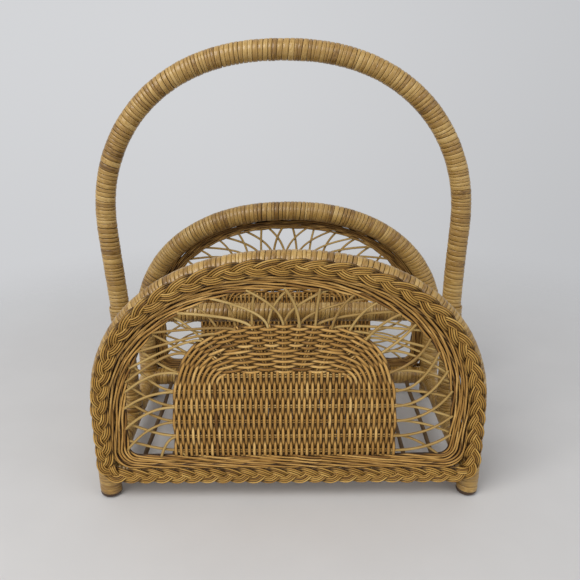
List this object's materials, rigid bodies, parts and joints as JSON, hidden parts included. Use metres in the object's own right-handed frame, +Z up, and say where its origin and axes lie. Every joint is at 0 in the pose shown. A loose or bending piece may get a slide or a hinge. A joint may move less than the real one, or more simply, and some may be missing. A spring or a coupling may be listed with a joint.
{
  "type": "magazine basket",
  "caption": "Free-standing wicker magazine basket with two arched openwork sides on wrapped rattan hoops, a divider bar and a tall fixed carrying handle.",
  "frame": {"origin": "centre of the footprint, on the floor under the four feet", "axes": "+Z up, +X along the basket's length towards the right of the picture, -Y towards the front side seen in the picture"},
  "size_m": [0.406, 0.2432, 0.4535],
  "materials": {
    "cane_wrap": "satin",
    "rattan_pole": "matte",
    "braided_reed": "satin",
    "woven_reed": "satin",
    "bare_rod": "matte"
  },
  "bodies": {
    "root": {"front_hoop": "rattan_pole", "front_hoop_wrap": "cane_wrap", "front_left_foot": "cane_wrap", "front_right_foot": "cane_wrap", "front_bottom_rail": "rattan_pole", "front_bottom_rail_wrap": "cane_wrap", "front_braid": "braided_reed", "front_border_rows": "woven_reed", "front_horseshoe_weave": "woven_reed", "front_column_weave": "woven_reed", "front_openwork": "woven_reed", "back_hoop": "rattan_pole", "back_hoop_wrap": "cane_wrap", "back_left_foot": "cane_wrap", "back_right_foot": "cane_wrap", "back_bottom_rail": "rattan_pole", "back_bottom_rail_wrap": "cane_wrap", "back_braid": "braided_reed", "back_border_rows": "woven_reed", "back_horseshoe_weave": "woven_reed", "back_column_weave": "woven_reed", "back_openwork": "woven_reed", "left_side_rail": "rattan_pole", "left_side_rail_wrap": "cane_wrap", "right_side_rail": "rattan_pole", "right_side_rail_wrap": "cane_wrap", "handle": "rattan_pole", "handle_wrap": "cane_wrap", "left_rail_lashing": "cane_wrap", "left_bar_lashing": "cane_wrap", "right_rail_lashing": "cane_wrap", "right_bar_lashing": "cane_wrap", "divider_bar": "rattan_pole", "divider_bar_wrap": "cane_wrap", "floor_rod_1": "bare_rod", "floor_rod_2": "bare_rod", "floor_rod_3": "bare_rod", "floor_rod_4": "bare_rod", "floor_rod_5": "bare_rod", "floor_rod_6": "bare_rod", "floor_rod_7": "bare_rod", "floor_rod_8": "bare_rod", "floor_rod_9": "bare_rod", "floor_rod_10": "bare_rod", "floor_rod_11": "bare_rod"}
  },
  "joints": []
}
